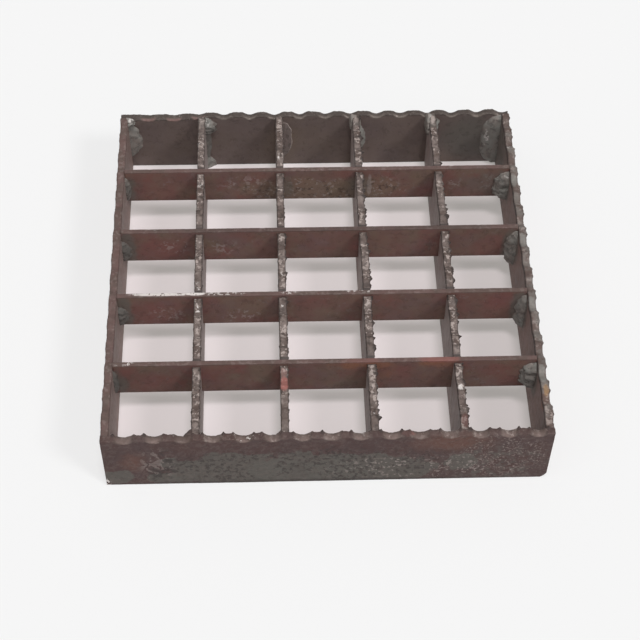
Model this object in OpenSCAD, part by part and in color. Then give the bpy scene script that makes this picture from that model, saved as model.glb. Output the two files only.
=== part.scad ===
// Press-locked steel grating panel: serrated bearing bars and bands on edge, slotted for flat
// cross bars, with fillet welds at the ends. It lies flat, bearing bars along Y, front at -Y.

/* [Grid] */
// Centre spacing of the bearing bars
bearing_pitch = 33.3; // [24:0.1:60]
// Centre spacing of the last bay on the right, where the panel was cut
cut_bay = 31.7; // [20:0.1:60]
// Centre spacing of the cross bars
cross_pitch = 33.3; // [24:0.1:60]
// Number of bays from left to right
bays_across = 5; // [2:1:8]
// Number of bays from front to back
bays_along = 5; // [2:1:8]

/* [Bars] */
// Depth of the bearing bars, side bars and bands
bar_depth = 30; // [25:0.5:60]
// Thickness of the bearing bars and side bars
bar_thick = 3; // [2:0.1:6]
// Thickness of the front and back bands
band_thick = 3; // [2:0.1:6]
// Depth of the cross bars
cross_depth = 17.5; // [13:0.5:22]
// Thickness of the cross bars
cross_thick = 2; // [1:0.1:4]
// Height of the cross bars above the bearing bars
cross_proud = 0.5; // [0.1:0.1:2]
// Size of the corner nipped off the front band, bottom right
corner_nip = 2.4; // [0.5:0.1:5]

/* [Slots] */
// Depth of the cross bar slots in the bearing bars
slot_depth = 9; // [5:0.5:11]
// Widening of a slot's mouth on each side
flare_width = 0.8; // [0.2:0.1:1.5]
// Depth of that widening
flare_depth = 1.2; // [0.4:0.1:3]

/* [Serration] */
// Number of notches in each bay of the bearing bars and side bars
notches_per_bay = 3; // [1:1:3]
// Distance from a cross bar's centre to the notch behind it
notch_offset = 3.6; // [3.4:0.1:5]
// Notch spacing along the bands
band_notch_pitch = 10.95; // [9.5:0.05:20]
// Distance from the front band's left end to its first notch
front_first_notch = 8.6; // [4:0.1:12]
// Distance from the back band's left end to its first notch
back_first_notch = 11.7; // [4:0.1:12]
// Radius of the round cutter that leaves a notch
notch_radius = 3.3; // [2.5:0.1:4]
// Depth of a notch
notch_depth = 1.9; // [0.8:0.1:2.2]
// Height of the raised lip along both edges of a notch
lip_height = 0.6; // [0.1:0.1:1]
// Width of that lip
lip_width = 1; // [0.4:0.1:1.2]

/* [Welds] */
// Leg of the beads at the right ends of the cross bars
right_weld_leg = 3; // [1.5:0.1:5]
// Leg of the beads at the left ends of the cross bars
left_weld_leg = 2; // [1.5:0.1:5]
// Leg of the beads between the bands and the bars
band_weld_leg = 2.6; // [1.5:0.1:5]
// Length of the beads between the bands and the bars
band_weld_run = 22; // [12:0.5:24]
// Gap between the top of a bead and the top of the bars
weld_drop = 2.4; // [2.2:0.1:4]

/* [Hidden] */
width = (bays_across - 1) * bearing_pitch + cut_bay + bar_thick;
length = bays_along * cross_pitch + band_thick;
bearing_ids = [1 : bays_across - 1];
cross_ids = [1 : bays_along - 1];
// Half the chord that a notch cuts out of the flat top edge
notch_half = sqrt(notch_radius * notch_radius - pow(notch_radius - notch_depth, 2));
round_fn = 48;
end_margin = 1.5;

// Left face of bearing bar i, counted from the left side bar, 0
function bar_left(i) = i < bays_across ? i * bearing_pitch - width / 2 : width / 2 - bar_thick;
// Centre line of cross bar j, counted from the front band, 0
function cross_y(j) = j * cross_pitch + band_thick / 2 - length / 2;
// Notch centres along the bearing bars and side bars: the same in every bay
function bar_notches() = [
    for (j = [0 : bays_along - 1], k = [0 : notches_per_bay - 1])
        cross_y(j) + notch_offset + k * cross_pitch / notches_per_bay
];
// Notch centres along a band, from its left end
function band_notches(first) = [
    for (x = [first : band_notch_pitch : width - end_margin]) x - width / 2
];

// Outline of a serrated bar seen from its side: x runs along it and y is up
module serrated_outline(from, to, notches) {
    difference() {
        union() {
            translate([from, 0]) square([to - from, bar_depth]);
            intersection() {
                for (c = notches) translate([c, bar_depth]) lip_outline();
                translate([from, 0]) square([to - from, bar_depth + lip_height]);
            }
        }
        for (c = notches)
            translate([c, bar_depth + notch_radius - notch_depth])
                circle(r = notch_radius, $fn = round_fn);
    }
}

// The metal pushed up beside a notch, before the notch is cut out of it
module lip_outline() {
    crest = notch_half + 0.4 * lip_width;
    foot = notch_half + lip_width;
    polygon([
        [-foot, -lip_height], [foot, -lip_height], [foot, 0],
        [crest, lip_height], [-crest, lip_height], [-foot, 0]
    ]);
}

// A slot from the top edge down, with a flared mouth
module slot_outline() {
    mouth = cross_thick / 2 + flare_width;
    top = bar_depth + 2 * lip_height;
    translate([-cross_thick / 2, bar_depth - slot_depth]) square([cross_thick, slot_depth + lip_height * 2]);
    polygon([
        [-cross_thick / 2, bar_depth - flare_depth], [cross_thick / 2, bar_depth - flare_depth],
        [mouth, bar_depth], [mouth, top], [-mouth, top], [-mouth, bar_depth]
    ]);
}

// Stands an outline up along Y, thickness to +X
module along_y(thick) {
    rotate([90, 0, 90]) linear_extrude(thick) children();
}

// Stands an outline up along X, thickness to +Y
module along_x(thick) {
    translate([0, thick, 0]) rotate([90, 0, 0]) linear_extrude(thick) children();
}

module side_bar() {
    along_y(bar_thick)
        serrated_outline(band_thick - length / 2, length / 2 - band_thick, bar_notches());
}

module side_bar_left() {
    color("#574842") translate([bar_left(0), 0, 0]) side_bar();
}

module side_bar_right() {
    color("#574842") translate([bar_left(bays_across), 0, 0]) side_bar();
}

// Bearing bar i: serrated, and slotted from above for every cross bar
module bearing_bar(i) {
    color("#6b5f58") translate([bar_left(i), 0, 0])
        along_y(bar_thick)
            difference() {
                serrated_outline(band_thick - length / 2, length / 2 - band_thick, bar_notches());
                for (j = cross_ids) translate([cross_y(j), 0]) slot_outline();
            }
}

// Cross bar j: plain flat bar, slotted from below over every bearing bar
module cross_bar(j) {
    top = bar_depth + cross_proud;
    color("#5c4039") translate([0, cross_y(j) - cross_thick / 2, 0])
        along_x(cross_thick)
            difference() {
                translate([bar_left(0) + bar_thick, top - cross_depth])
                    square([width - 2 * bar_thick, cross_depth]);
                for (i = bearing_ids)
                    translate([bar_left(i), 0]) square([bar_thick, bar_depth - slot_depth]);
            }
}

module band_front() {
    color("#5a4b46") translate([0, -length / 2, 0])
        along_x(band_thick)
            difference() {
                serrated_outline(-width / 2, width / 2, band_notches(front_first_notch));
                polygon([
                    [width / 2 - corner_nip, -1], [width / 2 - corner_nip, 0],
                    [width / 2, corner_nip], [width / 2 + 1, corner_nip], [width / 2 + 1, -1]
                ]);
            }
}

module band_back() {
    color("#4f4540") translate([0, length / 2 - band_thick, 0])
        along_x(band_thick)
            serrated_outline(-width / 2, width / 2, band_notches(back_first_notch));
}

// Fillet bead in the inside corner of +X and +Y: a quarter round with domed ends, on z = 0
module bead(leg, run) {
    rotate_extrude(angle = 90, $fn = round_fn)
        intersection() {
            union() {
                translate([0, leg]) square([leg, run - 2 * leg]);
                for (y = [leg, run - leg]) translate([0, y]) circle(r = leg, $fn = round_fn);
            }
            square([leg, run]);
        }
}

// Beads in front of the cross bars, against the left side bar
module welds_left() {
    run = cross_depth - cross_proud - 2 * weld_drop;
    color("#7c7a72") for (j = cross_ids)
        translate([bar_left(0) + bar_thick, cross_y(j) - cross_thick / 2, bar_depth - weld_drop - run])
            rotate([0, 0, -90]) bead(left_weld_leg, run);
}

// Beads in front of the cross bars, against the right side bar
module welds_right() {
    run = cross_depth - cross_proud - weld_drop;
    color("#7c7a72") for (j = cross_ids)
        translate([bar_left(bays_across), cross_y(j) - cross_thick / 2, bar_depth - weld_drop - run])
            rotate([0, 0, 180]) bead(right_weld_leg, run);
}

// Beads inside the front band: both corners, and left of the first two bearing bars
module welds_front() {
    base = bar_depth - weld_drop - band_weld_run;
    color("#7c7a72") translate([0, band_thick - length / 2, base]) {
        translate([bar_left(0) + bar_thick, 0, 0]) bead(band_weld_leg, band_weld_run);
        for (i = [1, 2, bays_across])
            translate([bar_left(i), 0, 0]) rotate([0, 0, 90]) bead(band_weld_leg, band_weld_run);
    }
}

// Beads inside the back band: right of the left side bar and of every bearing bar, and the corner
module welds_back() {
    base = bar_depth - weld_drop - band_weld_run;
    color("#7c7a72") translate([0, length / 2 - band_thick, base]) {
        for (i = [0 : bays_across - 1])
            translate([bar_left(i) + bar_thick, 0, 0]) rotate([0, 0, -90]) bead(band_weld_leg, band_weld_run);
        translate([bar_left(bays_across), 0, 0]) rotate([0, 0, 180]) bead(band_weld_leg, band_weld_run);
    }
}

band_front();
band_back();
side_bar_left();
side_bar_right();
for (i = bearing_ids) bearing_bar(i);
for (j = cross_ids) cross_bar(j);
welds_left();
welds_right();
welds_front();
welds_back();
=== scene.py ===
import math
import random
from dataclasses import dataclass

import bmesh
import bpy
from bpy.props import FloatProperty, FloatVectorProperty, IntProperty, PointerProperty
from mathutils import Matrix, Vector, noise


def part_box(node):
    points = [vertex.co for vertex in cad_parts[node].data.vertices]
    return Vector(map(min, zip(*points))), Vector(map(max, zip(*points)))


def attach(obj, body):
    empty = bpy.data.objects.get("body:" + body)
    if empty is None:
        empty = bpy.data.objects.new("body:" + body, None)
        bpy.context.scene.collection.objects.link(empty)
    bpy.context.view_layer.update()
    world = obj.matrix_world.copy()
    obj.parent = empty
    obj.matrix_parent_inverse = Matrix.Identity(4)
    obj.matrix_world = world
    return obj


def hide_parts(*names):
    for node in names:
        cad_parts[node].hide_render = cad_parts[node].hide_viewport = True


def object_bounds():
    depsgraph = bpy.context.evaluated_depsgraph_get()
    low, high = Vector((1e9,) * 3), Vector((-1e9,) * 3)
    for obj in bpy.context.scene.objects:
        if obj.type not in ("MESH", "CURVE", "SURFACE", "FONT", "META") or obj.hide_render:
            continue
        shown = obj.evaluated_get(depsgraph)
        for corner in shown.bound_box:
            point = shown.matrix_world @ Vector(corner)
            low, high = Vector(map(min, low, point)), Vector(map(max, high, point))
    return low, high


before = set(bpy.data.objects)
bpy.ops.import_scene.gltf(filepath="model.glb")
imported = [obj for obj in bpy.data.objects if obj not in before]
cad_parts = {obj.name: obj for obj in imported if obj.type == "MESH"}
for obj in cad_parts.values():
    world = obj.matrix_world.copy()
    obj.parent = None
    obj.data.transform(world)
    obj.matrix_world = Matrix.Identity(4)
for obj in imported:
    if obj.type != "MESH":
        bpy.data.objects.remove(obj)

bl_info = {
    "name": "Serrated Steel Grating",
    "version": (1, 0, 0),
    "blender": (4, 5, 0),
    "location": "View3D > Sidebar > Grating",
    "description": "Builds a welded grating panel of serrated flat bars in dark oxidised steel",
    "category": "Add Mesh",
}

MM = 0.001
SLIT = 0.01 * MM  # how far the steep walls of a slot lean
ON_PLANE = 1e-8  # how near to a cutting plane a vertex counts as on it
CROSS_CORNER = 0.25 * MM  # rounding of a cross bar's long edges
LEAST_DEEP = 0.002  # share of the height that is kept where a slot flattens a bar
ACROSS = Matrix.Rotation(-math.pi / 2, 3, "Z")  # turns a bar built along Y to run along X

CAD_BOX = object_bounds()
BEARING_BARS = sorted(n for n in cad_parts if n.startswith("bearing_bar_"))
CROSS_BARS = sorted(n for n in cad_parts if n.startswith("cross_bar_"))


def middle(node):
    """Middle of a CAD node's box, in millimetres."""
    low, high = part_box(node)
    return (low + high) / (2 * MM)


# Places that the finishes go by, in millimetres: the inner faces of the frame, the middles of
# the bars, the front faces of the cross bars, and the height of the serrated bars' flats
FRONT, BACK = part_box("band_front")[1].y / MM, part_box("band_back")[0].y / MM
LEFT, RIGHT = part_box("side_bar_left")[1].x / MM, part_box("side_bar_right")[0].x / MM
BAR_X = [middle(n).x for n in BEARING_BARS]
CROSS_Y = [middle(n).y for n in CROSS_BARS]
CROSS_FACES = [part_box(n)[0].y / MM for n in CROSS_BARS]
TOP = 30


# ---------------------------------------------------------------- sizes and colours


def length(name, default, description):
    return FloatProperty(
        name=name, default=default, min=0.0, description=description,
        subtype="DISTANCE", unit="LENGTH", precision=5,
    )


def colour(name, default, description):
    return FloatVectorProperty(
        name=name, default=default, size=3, min=0.0, max=1.0,
        description=description, subtype="COLOR",
    )


class GratingSerration(bpy.types.PropertyGroup):
    """The rolled notches along the top edges"""

    notches_per_bay: IntProperty(
        name="Notches a bay", default=3, min=1, max=4,
        description="Notches between two cross bars",
    )
    notch_offset: length("First notch", 3.6 * MM, "From a cross bar to the notch behind it")
    band_pitch: length("Band notch spacing", 10.95 * MM, "Spacing of the notches along the bands")
    front_first: length("Front band start", 8.6 * MM, "From the front band's left end to a notch")
    back_first: length("Back band start", 11.7 * MM, "From the back band's left end to a notch")
    half_width: length("Notch half width", 3.5 * MM, "Half of a notch's width at the top edge")
    depth: length("Notch depth", 1.35 * MM, "Depth of a notch below the flats")
    lip: length("Lip height", 0.6 * MM, "Most that the metal is raised at a notch's edge")
    slot_depth: length("Slot depth", 9.0 * MM, "Depth of the cross bar slots")
    flare_width: length("Flare width", 2.7 * MM, "Widening of a slot's mouth on each side")
    flare_depth: length("Flare depth", 2.0 * MM, "Depth of that widening behind a cross bar")


class GratingSurface(bpy.types.PropertyGroup):
    """The unevenness of rolled and rusted bars"""

    ring_step: length("Mesh step", 0.4 * MM, "Distance between two rings of a bar's mesh")
    corner: length("Corner radius", 0.5 * MM, "Rounding of a bar's long edges")
    sway: length("Sway", 0.35 * MM, "Slow sideways wander of a bearing bar's top edge")
    side_waver: length("Side waver", 0.08 * MM, "Slow unevenness of the side faces")
    top_grain: length("Top grain", 0.17 * MM, "Coarse grain of the serrated edges")
    side_grain: length("Side grain", 0.03 * MM, "Fine grain of the side faces")


class GratingColours(bpy.types.PropertyGroup):
    """Oxide, scale and rust colours"""

    front_brown: colour("Front brown", (0.071, 0.0375, 0.0335), "Ground colour of the front band")
    front_violet: colour("Front violet", (0.065, 0.0395, 0.0385), "Cooler clouds on the front band")
    back_brown: colour("Back brown", (0.145, 0.107, 0.098), "Ground colour of the back band")
    back_violet: colour("Back violet", (0.133, 0.099, 0.094), "Cooler clouds on the back band")
    cross_red: colour("Cross bar red", (0.183, 0.091, 0.078), "Ground colour of the cross bars")
    cross_brown: colour("Cross bar brown", (0.158, 0.098, 0.081), "Browner clouds on these bars")
    deep_red: colour("Deep red", (0.195, 0.075, 0.068), "The reddest clouds")
    violet: colour("Violet", (0.160, 0.098, 0.100), "Violet clouds on the cross bars")
    side_brown: colour("Side bar brown", (0.265, 0.190, 0.168), "Ground colour of the side bars")
    side_red: colour("Side bar red", (0.250, 0.155, 0.135), "Redder clouds on the side bars")
    # The grey film is partly real, partly painted reflection on the bearing bars' sides and painted
    # light on the left bar's inner face
    film: colour("Grey film", (0.370, 0.315, 0.300), "Light film on the sides of the bearing bars")
    film_dark: colour("Brown film", (0.220, 0.180, 0.168), "Darker streaks in that film")
    scale_grey: colour("Mill scale", (0.088, 0.079, 0.069), "Grey-green scale on the front band")
    green_grey: colour("Green-grey scale", (0.125, 0.118, 0.104), "Scale near the welds")
    dark_green: colour("Dark scale", (0.112, 0.104, 0.092), "Dark green scale on the back band")
    olive: colour("Olive film", (0.190, 0.142, 0.100), "Olive film and speckles")
    edge_brown: colour("Brown edge", (0.100, 0.068, 0.059), "Top edges of side and cross bars")
    edge_red: colour("Red edge", (0.120, 0.073, 0.066), "Redder clouds on those edges")
    crest: colour("Dark crests", (0.062, 0.048, 0.042), "Flats along the back band's top edge")
    # Pale notches: worn metal, with painted light where the notches face the light
    trough_pink: colour("Front notches", (0.190, 0.136, 0.123), "Worn notches of the front band")
    trough_olive: colour("Back notches", (0.215, 0.178, 0.155), "Worn notches of the back band")
    # The dark of pits; this colour also paints shade under burrs, along edges, at feet, in gaps and
    # on the floor
    pits_and_shade: colour("Pits", (0.030, 0.022, 0.020), "Dark bottoms of pits and undersides of burrs")
    worn_dark: colour("Worn edge, dark", (0.088, 0.061, 0.052), "Darker metal along the top edges")
    worn: colour("Worn edge", (0.140, 0.107, 0.095), "Metal along the top edges")
    # Pale worn metal; this colour also paints sparkle, reflection and highlights
    light_wear_and_sheen: colour("Worn edge, light", (0.47, 0.395, 0.362), "Lighter flecks on the top edges")
    # Chips on the bars are real; on the weld beads this colour paints glints
    chips_and_glints: colour("Bright chips", (0.70, 0.65, 0.62), "Nearly white chips on the top edges")
    orange: colour("Fresh rust", (0.30, 0.120, 0.065), "Orange rust")
    paint_red: colour("Red paint", (0.33, 0.115, 0.098), "Smears of red paint")
    weld_grey: colour("Weld metal", (0.222, 0.214, 0.197), "Grey-green weld beads")
    weld_brown: colour("Weld brown", (0.205, 0.175, 0.158), "Rusty clouds on the weld beads")
    floor: colour("Floor", (0.90, 0.90, 0.90), "Pale floor, as it lights the panel")
    floor_light: colour("Floor in light", (0.8405, 0.8405, 0.8405), "Floor where light reaches it")
    floor_shade: colour("Floor in shade", (0.95, 0.925, 0.870), "Tone of the floor in shade")
    trough_red: colour("Red notches", (0.17, 0.085, 0.080), "Red tint of the first back notches")
    ochre: colour("Ochre", (0.36, 0.20, 0.075), "Yellow-brown spot on the right bar")
    floor_glow: colour("Open floor in shade", (0.92, 0.92, 0.92), "Tone of the open floor in shade")
    # Floor inside the panel's outline: darker and warmer, painted shade and warm bounce light from
    # the rusty bars
    floor_warm_bounce: colour("Floor between bars", (0.773, 0.677, 0.708), "Floor that the rust tints")


def strength(name, default, description):
    return FloatProperty(
        name=name, default=default, min=0.0, max=20.0,
        description="Strength of the " + description,
    )


class GratingStage(bpy.types.PropertyGroup):
    """Camera and light"""

    camera_place: FloatVectorProperty(
        name="Camera place", default=(-0.01956, -0.3994, 0.50897), size=3,
        description="Where the camera stands", subtype="TRANSLATION", unit="LENGTH",
    )
    camera_turn: FloatVectorProperty(
        name="Camera turn", size=3, description="The camera's rotation", subtype="EULER",
        default=tuple(math.radians(a) for a in (37.671, -0.797, -1.774)), unit="ROTATION",
    )
    lens: FloatProperty(
        name="Lens", default=87.5, min=10.0, max=300.0,
        description="Focal length in millimetres on a 36 mm frame",
    )
    surround: strength("Surround", 0.30, "even light from all round")
    overhead: strength("Overhead light", 1.45, "light from above")
    key: strength("Key light", 1.15, "soft light from the front right")
    fill: strength("Fill light", 0.4, "broad light from the front left")
    softness: FloatProperty(
        name="Softness", default=math.radians(12.0), subtype="ANGLE", unit="ROTATION",
        description="Apparent size of the overhead light; the others are broader",
        min=0.0, max=math.pi,
    )


# ---------------------------------------------------------------- bar meshes


def smooth_step(low, high, value):
    """0 below low, 1 above high, and a smooth ramp between them."""
    t = min(max((value - low) / (high - low), 0.0), 1.0)
    return t * t * (3.0 - 2.0 * t)


def bar_section(thick, depth, corner):
    """The closed outline of a flat bar's section in the XZ plane, with close rows near the top."""
    bm = bmesh.new()
    bmesh.ops.create_grid(bm, x_segments=1, y_segments=1, size=0.5)
    bmesh.ops.scale(bm, vec=(thick, depth, 1.0), verts=bm.verts)
    bmesh.ops.rotate(
        bm, cent=(0, 0, 0), matrix=Matrix.Rotation(math.pi / 2, 3, "X"), verts=bm.verts
    )
    bmesh.ops.translate(bm, vec=(0, 0, depth / 2), verts=bm.verts)
    bmesh.ops.bevel(
        bm, geom=bm.verts[:], offset=corner, offset_type="OFFSET",
        segments=3, profile=0.5, affect="VERTICES", material=-1,
    )
    bmesh.ops.delete(bm, geom=bm.faces[:], context="FACES_ONLY")
    fine, coarse = 0.45 * MM, 2.4 * MM  # heights of the rows of faces
    heights = [depth - corner - fine * k for k in range(1, 12)]
    while heights[-1] > corner + 2 * coarse:
        heights.append(heights[-1] - coarse)
    cuts = [((0, 0, z), (0, 0, 1)) for z in heights]
    cuts += [((x, 0, 0), (1, 0, 0)) for x in (-thick / 5, 0.0, thick / 5)]
    for place, normal in cuts:
        bmesh.ops.bisect_plane(
            bm, geom=bm.verts[:] + bm.edges[:], dist=ON_PLANE, plane_co=place, plane_no=normal
        )
    return bm


def straight_bar(start, end, thick, depth, corner, step):
    """A closed flat bar along Y from start to end, centred on x = 0 and standing on z = 0."""
    bm = bar_section(thick, depth, corner)
    bmesh.ops.translate(bm, vec=(0, start, 0), verts=bm.verts)
    bmesh.ops.spin(
        bm, geom=bm.verts[:] + bm.edges[:], cent=(0, 0, 0), axis=(0, 0, 1),
        dvec=(0, end - start, 0), angle=0.0, steps=1, use_duplicate=False,
    )
    along = [e for e in bm.edges if abs(e.verts[0].co.y - e.verts[1].co.y) > (end - start) / 2]
    bmesh.ops.subdivide_edges(
        bm, edges=along, cuts=round((end - start) / step) - 1, use_grid_fill=True
    )
    bmesh.ops.holes_fill(bm, edges=[e for e in bm.edges if e.is_boundary], sides=0)
    bmesh.ops.recalc_face_normals(bm, faces=bm.faces)
    return bm


def cut_rings(bm, places):
    """Cuts a ring of edges round the bar at each place along Y."""
    for y in places:
        bmesh.ops.bisect_plane(
            bm, geom=bm.verts[:] + bm.edges[:] + bm.faces[:], dist=ON_PLANE,
            plane_co=(0, y, 0), plane_no=(0, 1, 0),
        )


class Notch:
    """One rolled notch, with the chance differences of its size, raised edges and burrs.

    lips and ears are the heights and the sideways bulges of the metal raised at its two ends,
    reach is how far that metal spreads, and shine how pale the notch is: worn metal, with painted
    light where it faces the light.
    """

    def __init__(self, centre, sizes, rng, share):
        self.centre = centre + rng.uniform(-0.3, 0.3) * MM
        self.depth = sizes.depth * rng.uniform(0.85, 1.15) * share
        self.half = sizes.half_width * rng.uniform(0.92, 1.06)
        self.lips = [sizes.lip * rng.uniform(0.0, 0.9) * share for _ in range(2)]
        self.ears = [rng.uniform(0.25, 1.0) for _ in range(2)]
        self.reach = rng.uniform(0.4, 0.7) * MM
        self.shine = rng.uniform(0.5, 1.0)


@dataclass
class Edge:
    """How one bar's top edge is formed. Pairs are for the bar's own left and right."""

    notches: list
    seed: int
    soft: float = 0.35  # rounding of the notches' edges
    swell: tuple = (0, 0)  # sideways bulge of the flats
    ears: tuple = (0, 0)  # sideways bulge at the ends of each notch
    burr: tuple = (0, 0)  # uneven sideways burrs, with painted shade under them
    wear: tuple = (1, 1)  # wear of the flats and of the notches
    rim: tuple = (0, 0)  # painted shade along each edge
    spike: float = 0.0  # height of the raised points on the left
    lit: tuple = (-1.1 * MM, 0.7 * MM)  # how far from the middle the notches turn pale with painted light
    slots: tuple = ()  # places of the cross bar slots
    cross_thick: float = 0.0  # thickness of the cross bars

    def at(self, y):
        """Rise, bulges and burrs of both sides, wear, ear, and the nearest notch's share."""
        rise, flat, lip, ear, nearest, shine = 0.0, 1.0, 0.0, 0.0, 9.0, 0.0
        for notch in self.notches:
            share = abs(y - notch.centre) / notch.half
            if share > 1.8:
                continue
            if share < 1:
                sharp, round_ = 1 - share * share, 0.5 + 0.5 * math.cos(math.pi * share)
                rise = -notch.depth * (sharp + self.soft * (round_ - sharp))
            flat = min(flat, smooth_step(0.7, 1.1, share))
            if share < nearest:
                nearest, shine = share, notch.shine
            end = 1 if y > notch.centre else 0
            beyond = (share - 1) * notch.half - 0.25 * MM
            near = math.exp(-((beyond / notch.reach) ** 2))
            lip = max(lip, notch.lips[end] * near)
            ear = max(ear, notch.ears[end] * near)
        bulge, burrs = [], []
        for side in (0, 1):
            wave = noise.noise(Vector((y * 560.0, self.seed + side * 7.3, 0.0)))
            wave += 0.5 * noise.noise(Vector((y * 1150.0, self.seed + side * 3.1, 5.0)))
            bulge.append(self.swell[side] * flat)
            burrs.append(self.ears[side] * ear + self.burr[side] * max(0.0, wave))
        wear = self.wear[0] * flat + self.wear[1] * (1 - flat)
        return rise + lip * (1 - self.soft), bulge, burrs, wear, ear, nearest, shine


def serrate(bm, depth, edge, sizes):
    """Shapes the straight bar's top into notches, lips, side burrs and cross bar slots.

    Three attributes say where the edge is worn, where shade is painted, and where a notch is pale.
    """
    worn, dark, dip = (bm.verts.layers.float.new(n) for n in ("wear", "burr", "trough"))
    forms = {}
    for v in bm.verts:
        x, y, z = v.co
        key = round(y * 1e6)
        if key not in forms:
            forms[key] = edge.at(y)
        rise, bulge, burrs, wear, ear, share, shine = forms[key]
        side = 1 if x > 0 else 0
        lean = min(abs(x) / (1.0 * MM), 1.0)
        near_top = smooth_step(depth - 4.0 * MM, depth - 1.0 * MM, z)
        top = smooth_step(depth - 1.0 * MM, depth - 0.35 * MM, z)
        band = math.exp(-(((z - depth + 0.65 * MM) / (0.6 * MM)) ** 2))
        out = bulge[side] * near_top + burrs[side] * band
        v.co.x += (1 if side else -1) * lean * out
        v.co.z += smooth_step(depth - 5.0 * MM, depth - 0.3 * MM, z) * rise
        v.co.z += edge.spike * ear * top * smooth_step(0.4 * MM, 1.2 * MM, -x)
        rim = smooth_step(0.95 * MM, 1.45 * MM, abs(x))
        v[worn] = wear * top
        # the pale notch: worn metal, painted lighter in a crescent on the side that faces the light
        arch = math.hypot(share, 0.6 * max(x, 0.0) / (1.5 * MM))
        v[dip] = shine * top * (1 - smooth_step(0.62, 0.98, arch)) * smooth_step(*edge.lit, x)
        # painted shade under the burrs and ears
        v[dark] = smooth_step(0.06 * MM, 0.30 * MM, lean * burrs[side] * band)
        # painted shade along the rounded edges of the top
        v[dark] = max(v[dark], edge.rim[side] * rim
                      * smooth_step(depth - 2.6 * MM, depth - 1.2 * MM, z))
        # painted shade on the raised points
        if edge.spike:
            point = min(1.0, 1.5 * ear) * top * smooth_step(0.0, 0.7 * MM, -x)
            v[dark] = max(v[dark], 0.95 * point)
        # painted contact shade along the foot
        v[dark] = max(v[dark], 0.5 * (1 - smooth_step(0.1 * MM, 0.45 * MM, z)))
        for centre in edge.slots:
            off = abs(y - centre) - edge.cross_thick / 2
            bottom = depth - sizes.slot_depth
            if off <= -SLIT:
                v.co.z = min(v.co.z, bottom + LEAST_DEEP * max(v.co.z - bottom, 0.0))
            elif off < sizes.flare_width and (y > centre or off < 0.6 * sizes.flare_width):
                near = 1 - off / sizes.flare_width / (1.0 if y > centre else 0.6)
                drop = min(1.0, 1.3 * near) if y > centre else 0.5 * near * near
                lid = depth - sizes.flare_depth * drop
                v.co.z = min(v.co.z, lid + 0.05 * max(v.co.z - lid, 0.0))
                # painted shade in the slot's mouth on both sides of the cross bar
                gap = smooth_step(0.0, 0.15, near) if y > centre else smooth_step(0.55, 0.9, near)
                v[worn] *= 1 - gap
                v[dark] = max(v[dark], gap * near_top)


def roughen(bm, depth, surface, seed, sway=0.0, coarseness=1.0):
    """Presses slow waver and grain into the whole surface, coarser along the top edge."""
    bm.normal_update()
    shift = Vector((seed * 0.37, seed * 0.11, seed * 0.53))
    for v in bm.verts:
        p = v.co + shift
        top = smooth_step(depth - 2.4 * MM, depth - 0.8 * MM, v.co.z)
        coarse = noise.noise(p * 650.0) + 0.8 * noise.noise(p * 1400.0)
        grain = surface.side_grain + (coarseness * surface.top_grain - surface.side_grain) * top
        v.co += v.normal * (grain * coarse + surface.side_waver * noise.noise(p * 45.0))
        if sway:
            wander = noise.noise(Vector((p.y * 28.0, seed, 1.0)))
            v.co.x += sway * wander * (max(v.co.z, 0.0) / depth) ** 2
        v.co.z = max(v.co.z, 0.0)


def new_object(bm, name, material):
    """A bmesh as an object of the scene."""
    mesh = bpy.data.meshes.new(name)
    bm.to_mesh(mesh)
    bm.free()
    mesh.materials.append(material)
    made = bpy.data.objects.new(name, mesh)
    bpy.context.scene.collection.objects.link(made)
    return made


def finish_piece(bm, name, material, node):
    """Turns a bmesh into a piece of the panel that stands for the named CAD node."""
    for face in bm.faces:
        face.smooth = True
    piece = new_object(bm, name, material)
    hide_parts(node)
    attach(piece, "root")


def finish_across(bm, node, material):
    """Turns a bar built along Y to run along X, in the place of its CAD node."""
    low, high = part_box(node)
    bmesh.ops.rotate(bm, cent=(0, 0, 0), matrix=ACROSS, verts=bm.verts)
    bmesh.ops.translate(bm, vec=(0, (low.y + high.y) / 2, low.z), verts=bm.verts)
    finish_piece(bm, node + "_steel", material, node)


def bar_notches(sizes, rng, share):
    """Notches of a bar that runs along Y: the same places in every bay, from the front band on."""
    low = (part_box("band_front")[0].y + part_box("band_front")[1].y) / 2
    high = (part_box("band_back")[0].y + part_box("band_back")[1].y) / 2
    step = (high - low) / (len(CROSS_BARS) + 1) / sizes.notches_per_bay
    count = (len(CROSS_BARS) + 1) * sizes.notches_per_bay
    return [Notch(low + sizes.notch_offset + step * k, sizes, rng, share) for k in range(count)]


def band_notches(node, first, sizes, rng, shares):
    """Notches of a band, from its left end to its right one, the first ones shallower."""
    low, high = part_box(node)[0].x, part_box(node)[1].x
    notches = []
    while low + first + len(notches) * sizes.band_pitch < high - 1.5 * MM:
        share = shares[min(len(notches), len(shares) - 1)]
        place = low + first + len(notches) * sizes.band_pitch
        notches.append(Notch(place, sizes, rng, share))
    return notches


def bar_along_y(node, material, seed, sway=0.0, slots=(), coarseness=1.0, share=1.0,
                **edge_style):
    """One serrated bar from front to back, in the place of its CAD node."""
    sizes, surface = bpy.context.scene.grating_serration, bpy.context.scene.grating_surface
    low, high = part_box(node)
    depth, thick = high.z - sizes.lip, high.x - low.x
    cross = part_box(CROSS_BARS[0])
    bm = straight_bar(low.y, high.y, thick, depth, surface.corner, surface.ring_step)
    edge = Edge(bar_notches(sizes, random.Random(seed), share), seed, slots=slots,
                cross_thick=cross[1].y - cross[0].y, **edge_style)
    for centre in slots:
        half = edge.cross_thick / 2
        cut_rings(bm, [centre - half, centre - half + SLIT, centre + half - SLIT, centre + half])
    serrate(bm, depth, edge, sizes)
    roughen(bm, depth, surface, seed, sway, coarseness)
    bmesh.ops.translate(bm, vec=((low.x + high.x) / 2, 0, 0), verts=bm.verts)
    finish_piece(bm, node.replace("bar", "bar_steel"), material, node)


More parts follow.
